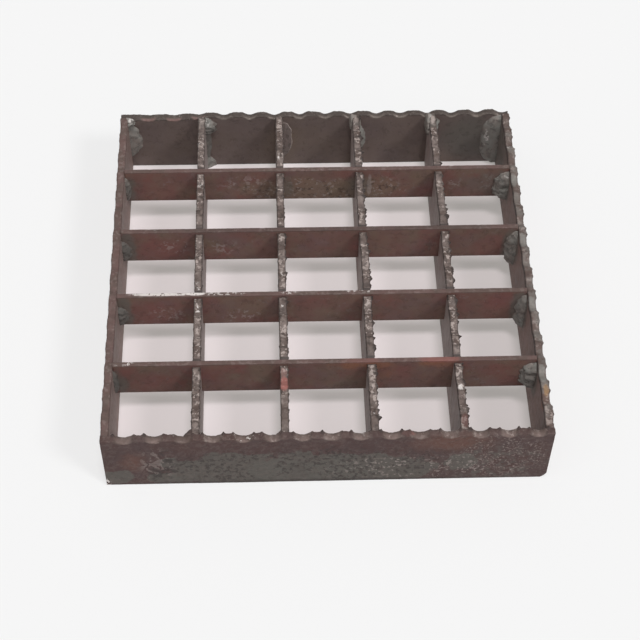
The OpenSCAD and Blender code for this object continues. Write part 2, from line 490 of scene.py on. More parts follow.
def band_along_x(node, first, material, seed, shares=(1.0,), stretch=1.0, nip=0.0, slump=0.0,
                 droop=0.0, **edge_style):
    """One serrated band from left to right, in the place of its CAD node.

    stretch widens the notches, nip is the corner cut off at the right end's foot, and slump
    and droop lower the top edge at the right end and at the left one.
    """
    sizes, surface = bpy.context.scene.grating_serration, bpy.context.scene.grating_surface
    low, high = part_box(node)
    depth, thick = high.z - sizes.lip, high.y - low.y
    bm = straight_bar(low.x, high.x, thick, depth, surface.corner, surface.ring_step)
    notches = band_notches(node, first, sizes, random.Random(seed), shares)
    for notch in notches:
        notch.half *= stretch
    serrate(bm, depth, Edge(notches, seed, **edge_style), sizes)
    roughen(bm, depth, surface, seed)
    for v in bm.verts:
        end = 1 - smooth_step(low.x + 26 * MM, low.x + 33 * MM, v.co.y)
        outer = 0.45 + 0.55 * smooth_step(-1.5 * MM, 1.5 * MM, v.co.x)
        v.co.z -= droop * end * outer * smooth_step(depth - 6 * MM, depth, v.co.z)
        past = (v.co.y - (high.x - nip)) - v.co.z
        if nip and past > 0:
            v.co.y -= past / 2
            v.co.z += past / 2
        end = smooth_step(high.x - 3.5 * MM, high.x, v.co.y)
        v.co.z -= slump * end * smooth_step(depth - 6 * MM, depth, v.co.z)
    finish_across(bm, node, material)


def cross_bar(node, material, seed):
    """One plain cross bar from left to right, slotted from below over the bearing bars."""
    sizes, surface = bpy.context.scene.grating_serration, bpy.context.scene.grating_surface
    low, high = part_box(node)
    depth, thick = high.z - low.z, high.y - low.y
    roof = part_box(BEARING_BARS[0])[1].z - sizes.lip - sizes.slot_depth - low.z
    bm = straight_bar(low.x, high.x, thick, depth, CROSS_CORNER, surface.ring_step)
    laps = [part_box(n) for n in BEARING_BARS]
    for lap_low, lap_high in laps:
        cut_rings(bm, [lap_low.x, lap_low.x + SLIT, lap_high.x - SLIT, lap_high.x])
    worn = bm.verts.layers.float.new("wear")
    for v in bm.verts:
        v[worn] = smooth_step(depth - 0.7 * MM, depth - 0.1 * MM, v.co.z)
        if any(a.x + SLIT / 2 < v.co.y < b.x - SLIT / 2 for a, b in laps):
            v.co.z = max(v.co.z, roof - LEAST_DEEP * max(roof - v.co.z, 0.0))
    bm.normal_update()
    for v in bm.verts:
        p = v.co + Vector((seed * 0.41, seed * 0.17, seed * 0.29))
        top = smooth_step(depth - 1.2 * MM, depth - 0.2 * MM, v.co.z)
        nick = max(0.0, noise.noise(Vector((p.y * 260.0, seed, 0.0))) - 0.35)
        v.co.z -= 0.4 * MM * nick * top
        grain = surface.side_grain * (0.6 + 0.6 * top)
        v.co += v.normal * (
            grain * (noise.noise(p * 800.0) + 0.5 * noise.noise(p * 1700.0))
            + 0.7 * surface.side_waver * noise.noise(p * 40.0)
        )
    finish_across(bm, node, material)


# ---------------------------------------------------------------- weld beads


def weld_bead(bm, corner, out_x, out_y, base, top, seed, lumps=0.22, flat=1.25, blunt=2.2):
    """Adds an upright fillet in the corner, reaching out_x and out_y from it (signed).

    lumps is how uneven it is, flat is 1 for a straight face and 2 for a round one, and a
    larger blunt gives squarer ends.
    """
    worn = bm.verts.layers.float.get("wear") or bm.verts.layers.float.new("wear")
    centre, half = (base + top) / 2, (top - base) / 2
    shift = Vector((seed * 1.3, seed * 0.7, seed * 2.1))
    for v in bmesh.ops.create_icosphere(bm, subdivisions=5, radius=1.0)["verts"]:
        x, y, z = v.co
        ring = math.hypot(x, y)
        if ring > 1e-6:
            square = ring / (abs(x) ** flat + abs(y) ** flat) ** (1 / flat)
            stretch = (1 - abs(z) ** blunt) ** (2 / blunt) / ring * square
        else:
            stretch = 0.0
        x, y = x * stretch, y * stretch
        x, y = (x if x > 0 else 0.25 * x), (y if y > 0 else 0.25 * y)
        # the rim along the bead's first reach, which the weld finish tones and on one bead paints
        # as a highlight
        v[worn] = 1 - smooth_step(0.03, 0.22, y / max(x, 1e-3)) if x > 0 else 0.0
        lump = 1.0 + lumps * noise.noise(Vector((x, y, z * 2.5)) * 1.6 + shift)
        lump += 0.35 * lumps * noise.noise(Vector((x, y, z * 2.0)) * 4.0 + shift)
        grain = 0.03 * noise.noise(v.co * 8.0 + shift) + 0.02 * noise.noise(v.co * 19.0 + shift)
        reach = lump + grain
        v.co = (
            corner[0] + out_x * reach * x,
            corner[1] + out_y * reach * y,
            max(centre + half * z * (1.0 + 0.06 * noise.noise(Vector((x, y, z)) * 3.0 + shift)),
                0.1 * MM),
        )


def weld_piece(node, beads, foot=0.0, head=0.0):
    """All beads of one weld node, as one piece.

    A bead is its corner's x and y, and in millimetres its reach along X and Y, its lower end
    above foot and its upper end above head; then come its lumps, flat and blunt.
    """
    bm = bmesh.new()
    for number, (x, y, out_x, out_y, base, top, *form) in enumerate(beads):
        weld_bead(bm, (x, y), out_x * MM, out_y * MM, foot + base * MM, head + top * MM,
                  number + len(node), *form)
    bmesh.ops.recalc_face_normals(bm, faces=bm.faces)
    material = bpy.data.materials["bead_metal"]
    finish_piece(bm, node.replace("welds", "weld_beads"), material, node)


# ---------------------------------------------------------------- shader nodes


class Nodes:
    """A node tree, with short ways of adding to it."""

    def __init__(self, tree):
        self.tree = tree

    def plug(self, socket, source):
        """Links an input to another node's output, or sets it to a constant."""
        if isinstance(source, bpy.types.NodeSocket):
            self.tree.links.new(source, socket)
        else:
            socket.default_value = source

    def feed(self, node, *sources, **named):
        """Plugs a node's inputs in their order, or by name with underscores for spaces."""
        for socket, source in zip(node.inputs, sources):
            self.plug(socket, source)
        for name, source in named.items():
            self.plug(node.inputs[name.replace("_", " ")], source)
        return node

    def add(self, kind, *sources, settings=None, **named):
        """A shader node with its own settings, and with its inputs plugged."""
        node = self.tree.nodes.new("ShaderNode" + kind)
        for name, value in (settings or {}).items():
            setattr(node, name, value)
        return self.feed(node, *sources, **named)

    def place(self):
        return self.add("TexCoord").outputs["Object"]

    def attribute(self, name):
        return self.add("Attribute", settings={"attribute_name": name}).outputs["Fac"]

    def maths(self, operation, *values):
        return self.add("Math", *values, settings={"operation": operation}).outputs[0]

    def vector(self, operation, *values):
        node = self.add("VectorMath", *values, settings={"operation": operation})
        return node.outputs["Value" if operation == "LENGTH" else "Vector"]

    def mix(self, share, first, second):
        """One colour turned into a second one, to the given share."""
        node = self.add("Mix", share, settings={"data_type": "RGBA"})
        for number, colour_of in ((6, first), (7, second)):
            self.plug(node.inputs[number], colour_of)
        return node.outputs[2]

    def ramp(self, value, low, high, to_low=0.0, to_high=1.0):
        """A value spread smoothly from low..high to to_low..to_high."""
        smooth = {"interpolation_type": "SMOOTHSTEP"}
        node = self.add("MapRange", value, low, high, to_low, to_high, settings=smooth)
        return node.outputs["Result"]

    def above(self, value, edge, cover, fall, softness):
        """Where a value lies above an edge, which falls as the cover grows."""
        edge = self.maths("SUBTRACT", edge, self.maths("MULTIPLY", cover, fall))
        return self.ramp(value, edge, self.maths("ADD", edge, softness))

    def noise(self, place, scale, detail, rough):
        node = self.add("TexNoise", Vector=place, Scale=scale, Detail=detail, Roughness=rough)
        return node.outputs["Fac"]

    def use(self, name, **values):
        """A node group, with its inputs plugged."""
        return self.add("Group", settings={"node_tree": bpy.data.node_groups[name]}, **values)

    def cloud(self, scale, cover, softness=0.08, seed=0.0, detail=6.0):
        return self.use("Oxide Clouds", Scale=scale, Cover=cover, Softness=softness, Seed=seed,
                        Detail=detail).outputs["Mask"]

    def spot(self, centre, reach, ragged, grain, softness):
        """A ragged spot's mask, from its centre and reach in millimetres."""
        centre, reach = (tuple(c * MM for c in triple) for triple in (centre, reach))
        return self.use("Ragged Spot", Centre=centre, Reach=reach, Ragged=ragged, Grain=grain,
                        Softness=softness).outputs["Mask"]

    def flecks(self, size, cover, patch_size, patches):
        return self.use("Flecks", Size=size, Cover=cover, Patch_Size=patch_size,
                        Patches=patches).outputs["Mask"]

    def streaks(self, scale, low, high):
        """Upright streaks: noise drawn out along Z, as a mask."""
        drawn = self.vector("MULTIPLY", self.place(), (1.0, 1.0, 0.07))
        return self.ramp(self.noise(drawn, scale, 3.0, 0.6), low, high)

    def shown_rays(self):
        """1 for the rays that show the background: those of the camera, reflections and glass."""
        path = self.add("LightPath").outputs
        rays = self.maths("MAXIMUM", path["Is Camera Ray"], path["Is Glossy Ray"])
        return self.maths("MAXIMUM", rays, path["Is Transmission Ray"])


def cleared_nodes(owner):
    """The emptied node tree of a material or a world."""
    owner.use_nodes = True
    owner.node_tree.nodes.clear()
    return owner.node_tree


def new_group(name, outputs, **inputs):
    """A new shader node group: its nodes, its input sockets by name, and its output node."""
    tree = bpy.data.node_groups.new(name, "ShaderNodeTree")
    for label, default in inputs.items():
        kind = "NodeSocketVector" if isinstance(default, tuple) else "NodeSocketFloat"
        label = label.replace("_", " ")
        tree.interface.new_socket(label, in_out="INPUT", socket_type=kind).default_value = default
    for label in outputs:
        tree.interface.new_socket(label, in_out="OUTPUT", socket_type="NodeSocketFloat")
    given = tree.nodes.new("NodeGroupInput").outputs
    return Nodes(tree), given, tree.nodes.new("NodeGroupOutput")


def cloud_group():
    """Clouds of one colour over another: a mask from noise at a given size and cover."""
    nodes, given, out = new_group(
        "Oxide Clouds", ["Mask"], Scale=60.0, Cover=0.5, Softness=0.12, Detail=6.0, Seed=0.0
    )
    moved = nodes.vector("ADD", nodes.place(), given["Seed"])
    spread = nodes.noise(moved, given["Scale"], given["Detail"], 0.62)
    edge = nodes.maths("MULTIPLY_ADD", nodes.maths("SUBTRACT", 1.0, given["Cover"]), 0.5, 0.25)
    low, high = (nodes.maths(way, edge, given["Softness"]) for way in ("SUBTRACT", "ADD"))
    nodes.feed(out, Mask=nodes.ramp(spread, low, high))


def spot_group():
    """A ragged spot round a point: 1 in the middle and 0 outside."""
    nodes, given, out = new_group(
        "Ragged Spot", ["Mask"], Centre=(0.0, 0.0, 0.0), Reach=(1.0, 1.0, 1.0), Ragged=0.5,
        Grain=300.0, Softness=0.3,
    )
    place = nodes.place()
    away = nodes.vector("SUBTRACT", place, given["Centre"])
    far = nodes.vector("LENGTH", nodes.vector("DIVIDE", away, given["Reach"]))
    rag = nodes.maths("SUBTRACT", nodes.noise(place, given["Grain"], 6.0, 0.68), 0.5)
    rag = nodes.maths("MULTIPLY", rag, nodes.maths("MULTIPLY", given["Ragged"], 2.0))
    inner = nodes.maths("SUBTRACT", 1.0, given["Softness"])
    nodes.feed(out, Mask=nodes.ramp(nodes.maths("ADD", far, rag), 1.0, inner))


def pit_group():
    """Pitted, grainy relief: a height for a bump, and a mask of the pits."""
    nodes, given, out = new_group(
        "Rust Relief", ["Height", "Pits"], Grain=1400.0, Pits=420.0, Pit_Cover=0.3
    )
    place = nodes.place()
    fine = nodes.noise(place, given["Grain"], 5.0, 0.7)
    broad = nodes.noise(place, given["Pits"], 3.0, 0.6)
    pits = nodes.above(broad, 0.62, given["Pit Cover"], 0.2, 0.07)
    height = nodes.maths(
        "SUBTRACT", nodes.maths("MULTIPLY", fine, 0.5), nodes.maths("MULTIPLY", pits, 0.6)
    )
    nodes.feed(out, Height=height, Pits=pits)


def fleck_group():
    """Small flecks scattered in patches: a mask."""
    nodes, given, out = new_group(
        "Flecks", ["Mask"], Size=900.0, Cover=0.3, Patch_Size=160.0, Patches=0.5
    )
    place = nodes.place()
    fine = nodes.noise(place, given["Size"], 2.0, 0.6)
    broad = nodes.noise(place, given["Patch Size"], 2.0, 0.5)
    chips = nodes.above(fine, 0.74, given["Cover"], 0.3, 0.05)
    there = nodes.above(broad, 0.68, given["Patches"], 0.34, 0.08)
    nodes.feed(out, Mask=nodes.maths("MULTIPLY", chips, there))


# ---------------------------------------------------------------- finishes


class Coat(Nodes):
    """The colour of a finish as it is built up, one layer over another.

    A tone is the name of one of the panel's colours, or a colour that a node puts out.
    """

    def __init__(self, tree, base=None):
        super().__init__(tree)
        self.base = self.tone(base)

    def tone(self, tone):
        """A named colour's value; anything else stays as it is."""
        if isinstance(tone, str):
            return rgba(getattr(bpy.context.scene.grating_colours, tone))
        return tone

    def blend(self, share, first, second):
        return self.mix(share, self.tone(first), self.tone(second))

    def dab(self, tone, share, *spot, within=None):
        """Lays a tone over a ragged spot, or over the part of it within another mask."""
        self.lay(tone, share, self.spot(*spot), within)

    def lay(self, tone, share, mask, within=None):
        """Lays a tone over the colour to the given share, where the mask or both masks say."""
        if within is not None:
            mask = self.maths("MULTIPLY", mask, within)
        self.base = self.blend(self.maths("MULTIPLY", mask, share), self.base, tone)

    def finish(self, shader, relief, dullness, shine, bump):
        """Gives the shader this colour, uneven dullness from clouds, and the relief."""
        clouds, low, high = dullness
        rough = self.ramp(self.cloud(*clouds), 0, 1, low, high)
        distance, strength = bump
        dents = self.add("Bump", Height=relief, Distance=distance, Strength=strength)
        self.feed(shader, Base_Color=self.base, Roughness=rough, Metallic=0,
                  Specular_IOR_Level=shine, Normal=dents.outputs["Normal"])


def rgba(value):
    return (*value, 1)


def new_material(name):
    """A material's empty coat and the shader that will wear it."""
    coat = Coat(cleared_nodes(bpy.data.materials.new(name)))
    shader = coat.add("BsdfPrincipled")
    coat.add("OutputMaterial", Surface=shader.outputs["BSDF"])
    return coat, shader


def oxide_steel(name, ground, second, patches, edge, worn=1, speckle=0.5, chips=0,
                trough=None, marks=None):
    """Dark oxidised steel: two ground tones in clouds, the patches of one kind of bar, pits,
    a speckled worn edge of two tones, notches of their own tone, bright chips, marks, and painted
    shade under burrs, along edges and at the foot."""
    coat, shader = new_material(name)
    coat.base = coat.blend(coat.cloud(48, 0.5, 0.22), ground, second)
    coat.lay(coat.blend(0.3, coat.base, "pits_and_shade"), 0.5, coat.cloud(150, 0.45, 0.2, 2))
    patches(coat)
    relief = coat.use("Rust Relief", Grain=1500, Pits=420, Pit_Cover=0.3)
    coat.lay(coat.blend(0.5, coat.base, "pits_and_shade"), 0.35, relief.outputs["Pits"])

    wear = coat.attribute("wear")
    top = Coat(coat.tree, coat.blend(coat.cloud(150, 0.5, 0.12, 5, 3), *edge))
    # pale flecks on the top edges: partly worn metal, partly painted sparkle
    top.lay("light_wear_and_sheen", 0.35 * speckle, top.cloud(240, 0.38, 0.12, 13, 3))
    top.lay("pits_and_shade", 0.75 * speckle, top.cloud(500, 0.40, 0.08, 11, 2))
    top.lay("light_wear_and_sheen", 0.85 * speckle, top.flecks(600, 0.66, 130, 0.75))
    coat.lay(top.base, worn, wear)
    if trough:
        dip = Coat(coat.tree, trough)
        dip.lay(edge[0], 0.55, dip.cloud(420, 0.45, 0.15, 7, 3))
        dip.lay("light_wear_and_sheen", 0.5, dip.flecks(700, 0.6, 150, 0.6))
        coat.lay(dip.base, 0.95, coat.attribute("trough"))
    coat.lay("chips_and_glints", 0.9, coat.flecks(640, 0.52, 90, chips), wear)
    coat.lay("paint_red", 0.8, paint_smears(coat), wear)
    if marks:
        marks(coat)
    # painted shade: under burrs and raised points, along edges, at the foot and in slot mouths
    coat.lay("pits_and_shade", 0.85, coat.attribute("burr"))
    coat.finish(shader, relief.outputs["Height"], ((400, 0.5, 0.15, 3), 0.58, 0.72), 0.25,
                (0.12 * MM, 0.8))


def paint_smears(coat):
    """Smears of red paint on top of two bearing bars, and on the front band beside one."""
    mask = coat.spot((BAR_X[1], CROSS_FACES[0] - 8.5, TOP), (2.6, 4.4, 4), 0.45, 420, 0.3)
    for centre, reach, share in (
        ((BAR_X[2] + 12, FRONT - 1.5, TOP), (3, 1.6, 3), 0.35),
        ((BAR_X[1] - 0.5, CROSS_FACES[0] - 3.5, TOP), (2, 2, 3), 0.3),
    ):
        more = coat.maths("MULTIPLY", coat.spot(centre, reach, 0.6, 500, 0.4), share)
        mask = coat.maths("MAXIMUM", mask, more)
    return mask


def front_band_patches(coat):
    """Grey scale on the lower face, torn and speckled places, and painted contact shade in a dark
    hem along the foot.
    """
    left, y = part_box("band_front")[0].x / MM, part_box("band_front")[0].y / MM

    def patch(x, z, wide, high, *form):
        return coat.spot((x, y, z), (wide, 4, high), *form)

    warm = coat.blend(0.45, "front_brown", "orange")
    coat.lay(warm, 0.33, patch(-73, 16, 7, 9, 0.5, 90, 0.8))
    coat.lay(warm, 0.35, patch(46, 26, 22, 8, 0.6, 70, 0.8))
    for place in ((-36, 9, 25, 12), (-8, 8, 26, 12.5), (16, 8, 26, 11), (-62, 5, 6, 4),
                  (-79, 6, 5.5, 5), (50, 12, 6, 6), (-60, 15, 3.5, 4)):
        coat.lay("scale_grey", 0.85, patch(*place, 0.75, 150, 0.1))
    for tone, share, clouds, place in (
        ("scale_grey", 0.7, (260, 0.42, 0.1, 4), (62, 11, 24, 15, 0.5, 120, 0.4)),
        ("pits_and_shade", 0.75, (360, 0.42, 0.08, 14), (-62, 13, 9, 13, 0.5, 120, 0.5)),
    ):
        coat.lay(tone, share, coat.cloud(*clouds), patch(*place))
    for tone, share, flecks, place in (
        ("light_wear_and_sheen", 0.24, (420, 0.7, 120, 0.9), (-64, 13, 9, 14, 0.5, 120, 0.5)),
        ("light_wear_and_sheen", 0.33, (600, 0.62, 170, 0.8), (36, 9, 44, 10, 0.6, 120, 0.5)),
        ("light_wear_and_sheen", 0.24, (1050, 0.68, 260, 0.75), (66, 15, 22, 17, 0.5, 120, 0.4)),
        ("pits_and_shade", 0.7, (520, 0.75, 90, 0.9), (-10, 10, 70, 15, 0.5, 100, 0.4)),
    ):
        coat.lay(tone, share, coat.flecks(*flecks), patch(*place))
    coat.lay("worn", 0.22, coat.flecks(760, 0.75, 120, 0.9))
    # painted contact shade in a dark hem along the foot
    coat.lay("pits_and_shade", 0.7, patch(-5, 0, 100, 2.9, 0.3, 120, 0.6))
    nick = patch(left + 0.6, 2.5, 1.6, 3, 0.8, 400, 0.4)
    coat.lay("chips_and_glints", 0.8, nick, coat.flecks(900, 0.8, 200, 1))


def back_band_patches(coat):
    """An olive film in clouds, and dark green scale towards the right end."""
    coat.lay("olive", 0.25, coat.cloud(45, 0.5, 0.2, 2))
    coat.dab("dark_green", 0.7, (68, BACK, 15), (17, 4, 19), 0.4, 60, 0.6)
    coat.dab("olive", 0.3, (-14, BACK, 16), (12, 4, 14), 0.5, 60, 0.8)


def back_band_marks(coat):
    """A red tint in the first notches."""
    tint = coat.spot((-62, BACK, 29), (19, 4, 4), 0.3, 120, 0.3)
    coat.lay("trough_red", 0.75, coat.attribute("trough"), tint)


def cross_bar_patches(coat):
    """Clouds in three tones, an olive film with crumbs and pits on the last bar, worn flecks,
    orange rust on the first bar, and green-grey stains at the ends, with painted shade of a gap
    where they meet the side bars."""
    for tone, share, clouds in (
        ("olive", 0.5, (70, 0.42, 0.15, 9)), ("deep_red", 0.65, (85, 0.36, 0.12, 13)),
        ("violet", 0.5, (95, 0.33, 0.12, 21)),
    ):
        coat.lay(tone, share, coat.cloud(*clouds))
    for x, wide in ((-66, 13), (70, 9)):
        coat.dab("deep_red", 0.45, (x, 0, 18), (wide, 90, 11), 0.6, 110, 0.5)
    film = coat.spot((4, CROSS_Y[3] - 1, 19), (46, 3, 9), 0.7, 90, 0.5)
    coat.lay("olive", 0.55, film)
    coat.lay("film", 0.4, coat.flecks(620, 0.66, 170, 0.75), film)
    coat.lay("pits_and_shade", 0.55, coat.cloud(520, 0.34, 0.05, 6), film)
    coat.dab("film", 0.45, (22, CROSS_Y[3] - 1, 21), (1.1, 3, 7), 0.8, 300, 0.3)
    coat.lay("film_dark", 0.35, coat.flecks(480, 0.55, 120, 0.45),
             coat.cloud(60, 0.45, 0.1, 31))
    for row, x, z, wide in ((2, -60, 22, 8), (2, -40, 21, 9), (1, -62, 19, 9), (1, -32, 17, 9),
                            (3, 72, 22, 6), (3, 58, 22, 4), (3, -30, 23, 14)):
        coat.dab("film", 0.38, (x, CROSS_Y[row] - 1, z), (wide, 3, 6), 0.7, 150, 0.6,
                 within=coat.flecks(560, 0.72, 170, 0.85))
    for x, wide in ((72, 13), (-13, 5), (17, 6)):
        coat.dab("green_grey", 0.5, (x, CROSS_Y[3] - 1, 21), (wide, 3, 10), 0.6, 110, 0.7)
    for x, z, wide, share in ((8, 29, 8, 0.55), (20, 29, 9, 0.5), (42, 29, 11, 0.55),
                              (24, 22, 5, 0.35)):
        coat.dab("orange", share, (x, CROSS_Y[0] - 1, z), (wide, 3.5, 4.5), 0.9, 150, 0.9)
    for side in (-1, 1):
        coat.dab("green_grey", 0.7, (side * 79, 0, 20), (5, 90, 13), 0.6, 130, 0.4)
        # painted shade of a gap at each end, where the bar meets a side bar
        coat.dab("pits_and_shade", 0.75, (side * 82.2, 0, 20), (1.5, 90, 16), 0.4, 200, 0.6)


def cross_bar_marks(coat):
    """White chips in a thin row along the second bar's back edge, a darker top on the third
    bar, and red on top of the first."""
    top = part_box(CROSS_BARS[0])[1].z / MM
    for x, wide, cover, share in ((-62, 17, 1.2, 0.9), (-50, 5, 1.3, 0.9), (-40, 12, 0.85, 0.65),
                                  (-13, 4, 0.8, 0.6), (14, 6, 0.8, 0.6)):
        coat.dab("chips_and_glints", share, (x, CROSS_Y[1] + 0.3, top), (wide, 1, 1.2), 0.3, 400, 0.4,
                 within=coat.flecks(1000, cover, 160, 1.3))
    coat.dab("pits_and_shade", 0.3, (0, CROSS_Y[2], top), (90, 2, 1), 0.3, 120, 0.4)
    for x, wide, share in ((14, 9, 0.18), (44, 10, 0.42)):
        coat.dab("paint_red", share, (x, CROSS_Y[0], top), (wide, 3, 1.5), 0.6, 200, 0.5)


def bearing_bar_patches(coat):
    """A light grey film on the sides, partly painted reflection of the pale floor, in soft upright
    streaks.
    """
    # grey film on the sides: partly a real film, partly painted reflection of the pale floor
    coat.lay("film", 0.85, coat.cloud(26, 0.68, 0.2, 4))
    coat.lay("film_dark", 0.45, coat.cloud(90, 0.42, 0.15, 8))
    coat.lay("worn_dark", 0.22, coat.streaks(330, 0.5, 0.66))
    coat.lay("film", 0.2, coat.streaks(210, 0.46, 0.34))


def bearing_bar_marks(coat):
    """Lumps of grey metal by the back band, a smooth stretch on the second bar, a paler strip
    on the third bar's left side that is a painted reflection, and a dark red smear and a bright
    chip on the fourth."""
    smear = coat.spot((BAR_X[3] + 0.4, FRONT + 4.5, TOP), (1.8, 4, 4), 0.8, 420, 0.5)
    coat.lay(coat.blend(0.7, "paint_red", "pits_and_shade"), 0.6, smear)
    smooth = coat.spot((BAR_X[1], FRONT + 9, TOP), (4, 10, 3), 0.4, 200, 0.4)
    coat.lay(coat.blend(0.5, "worn_dark", "worn"), 0.7, smooth)
    for bar, reach, share in ((3, 6.5, 0.6), (2, 4.5, 0.35), (0, 5, 0.3)):
        lump = coat.spot((BAR_X[bar], BACK - 1.5, TOP), (4, reach, 4), 0.5, 300, 0.4)
        coat.lay("scale_grey", share, lump)
        shine = coat.spot((BAR_X[bar], BACK - 2.5, TOP), (1.3, 0.4 * reach, 3), 0.7, 500, 0.6)
        coat.lay("light_wear_and_sheen", share, shine)
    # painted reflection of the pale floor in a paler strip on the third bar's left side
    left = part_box(BEARING_BARS[2])[0].x / MM
    for row, share in ((1, 0.6), (2, 0.25)):
        centre = (left - 0.4, (CROSS_Y[row] + CROSS_Y[row + 1]) / 2, 13)
        coat.dab("light_wear_and_sheen", share, centre, (1.3, 15, 24), 0.9, 130, 0.6)
    centre = (BAR_X[3] - 0.2, CROSS_FACES[0] - 12, TOP)
    coat.dab("chips_and_glints", 0.85, centre, (1.25, 1.5, 3), 1.1, 900, 0.5)


def side_bar_patches(coat):
    """A brown film in streaks, painted light on the left bar's inner face, green-grey scale on the
    right bar towards the back and by the cross bars, a darker stretch on its inner face by the
    front band, and rust at its front end."""
    left, right = middle("side_bar_left"), middle("side_bar_right")
    coat.lay("film_dark", 0.4, coat.cloud(50, 0.4, 0.2, 6))
    coat.lay("worn_dark", 0.15, coat.streaks(330, 0.5, 0.68))
    # painted light on the left bar's inner face, which faces the key light
    coat.dab("film", 0.2, (left.x + 1.5, 0, 14), (1, 95, 26), 0.3, 120, 0.3)
    coat.dab("pits_and_shade", 0.3, (right.x - 1.5, FRONT + 2, 14), (1.2, 9, 26), 0.3, 120, 0.7)
    coat.dab("green_grey", 0.75, (right.x, BACK - 8, 18), (5, 26, 26), 0.4, 60, 0.6)
    for y in CROSS_FACES:
        coat.dab("green_grey", 0.65, (right.x - 2, y - 2, 20), (2.4, 6, 11), 0.6, 120, 0.4)
    coat.dab("orange", 0.8, (right.x, -70, 29), (4, 5, 4), 0.5, 300, 0.5)


def right_bar_marks(coat):
    """Weld-grey clouds and lumps on top, paler steel towards the front, and an ochre spot."""
    x = middle("side_bar_right").x
    coat.dab("weld_grey", 0.42, (x, 0, 30.5), (4, 95, 3), 0.2, 200, 0.3,
             within=coat.cloud(170, 0.5, 0.1, 19, 3))
    for y in CROSS_FACES:
        coat.dab("weld_grey", 0.6, (x - 0.6, y - 6, TOP), (2.1, 4.6, 3), 0.6, 260, 0.3)
    coat.dab("light_wear_and_sheen", 0.45, (x, CROSS_FACES[0] - 22, TOP), (4, 14, 3), 0.5, 200, 0.6,
             within=coat.flecks(480, 0.8, 130, 1))
    coat.dab("ochre", 0.5, (x + 0.3, CROSS_FACES[0] - 14, TOP), (1.3, 3.4, 3), 0.7, 400, 0.5)


def weld_metal():
    """Grey-green weld metal with a dull, grainy skin, a worn tone along its rims, a painted
    highlight along the rim of one plain bead, brown along the front band, darker on the left, and
    with a few painted glints."""
    coat, shader = new_material("bead_metal")
    coat.base = coat.blend(coat.cloud(160, 0.45, 0.15), "weld_grey", "weld_brown")
    starts, ends = ([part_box(n)[side].x / MM for n in BEARING_BARS] for side in (0, 1))
    plain = coat.spot((ends[1] + 2, BACK, 16), (5, 4, 14), 0.2, 200, 0.2)
    coat.lay("back_brown", 0.8, plain)
    relief = coat.use("Rust Relief", Grain=1800, Pits=500, Pit_Cover=0.4)
    coat.lay("pits_and_shade", 0.35, relief.outputs["Pits"])
    coat.lay("worn", 0.25, coat.flecks(700, 0.6, 150, 0.5))
    # darker on the left beads
    coat.dab("pits_and_shade", 0.55, (LEFT + 1, -10, 20), (6, 72, 20), 0.3, 200, 0.3)
    coat.dab("pits_and_shade", 0.4, (ends[0] + 2, BACK, 16), (6, 5, 14), 0.5, 200, 0.4)
    coat.dab("front_brown", 0.75, (0, FRONT + 2, 20), (120, 7, 30), 0.2, 200, 0.2)
    rim = coat.attribute("wear")
    coat.lay("worn", 0.5, rim, coat.cloud(380, 0.6, 0.1, 17, 3))
    # painted highlight along the rim of the plain bead
    coat.lay("light_wear_and_sheen", 0.75, plain, rim)
    # painted glints on the beads
    for centre, reach, share in (
        ((LEFT + 1.6, BACK - 1.4, 29.5), (1.7, 2, 1.6), 0.7),
        ((ends[0] + 1, BACK - 2.4, 28.2), (1.4, 2.5, 2), 0.5),
        ((starts[3] + 1.6, BACK - 3.4, 30.4), (2.2, 3.6, 1.4), 0.45),
        ((starts[2] + 1.6, BACK - 2, 30.4), (1.8, 1.6, 1.4), 0.3),
        ((RIGHT - 5.6, BACK - 1.5, 17), (1.3, 3, 5), 0.6),
        ((RIGHT - 1, CROSS_FACES[3] - 2, 27.5), (2.2, 3, 1.3), 0.6),
        ((RIGHT - 2.6, CROSS_FACES[0] - 1.5, 13.6), (3, 3, 1), 0.6),
        ((LEFT + 2.6, CROSS_FACES[1] - 1, 13.8), (2.6, 3, 0.9), 0.55),
    ):
        coat.dab("chips_and_glints", share, centre, reach, 0.7, 500, 0.5,
                 within=coat.flecks(620, 0.85, 120, 1))
    coat.finish(shader, relief.outputs["Height"], ((300, 0.5, 0.2, 8), 0.5, 0.7), 0.20,
                (0.15 * MM, 0.9))


# ---------------------------------------------------------------- operators


class GRATING_OT_finishes(bpy.types.Operator):
    """Make the shared shader groups and every finish of the panel"""

    bl_idname = "grating.finishes"
    bl_label = "Finishes"

    def execute(self, context):
        for build in (cloud_group, spot_group, pit_group, fleck_group):
            build()
        grey_edge, brown_edge = ("worn_dark", "worn"), ("edge_brown", "edge_red")
        oxide_steel("front_band_steel", "front_brown", "front_violet", front_band_patches,
                    grey_edge, worn=0.8, speckle=0.4, chips=0.3, trough="trough_pink")
        oxide_steel("back_band_steel", "back_brown", "back_violet", back_band_patches,
                    ("crest", "crest"), speckle=0.1, trough="trough_olive",
                    marks=back_band_marks)
        sides = "side_brown", "side_red"
        oxide_steel("bearing_bar_steel", *sides, bearing_bar_patches, grey_edge, speckle=0.8,
                    chips=0.25, marks=bearing_bar_marks)
        oxide_steel("left_bar_steel", *sides, side_bar_patches, brown_edge, speckle=0.15)
        oxide_steel("right_bar_steel", *sides, side_bar_patches, ("edge_brown", "worn_dark"),
                    speckle=0.35, chips=0.12, marks=right_bar_marks)
        oxide_steel("cross_bar_steel", "cross_red", "cross_brown", cross_bar_patches,
                    brown_edge, speckle=0.12, marks=cross_bar_marks)
        weld_metal()
        return {"FINISHED"}


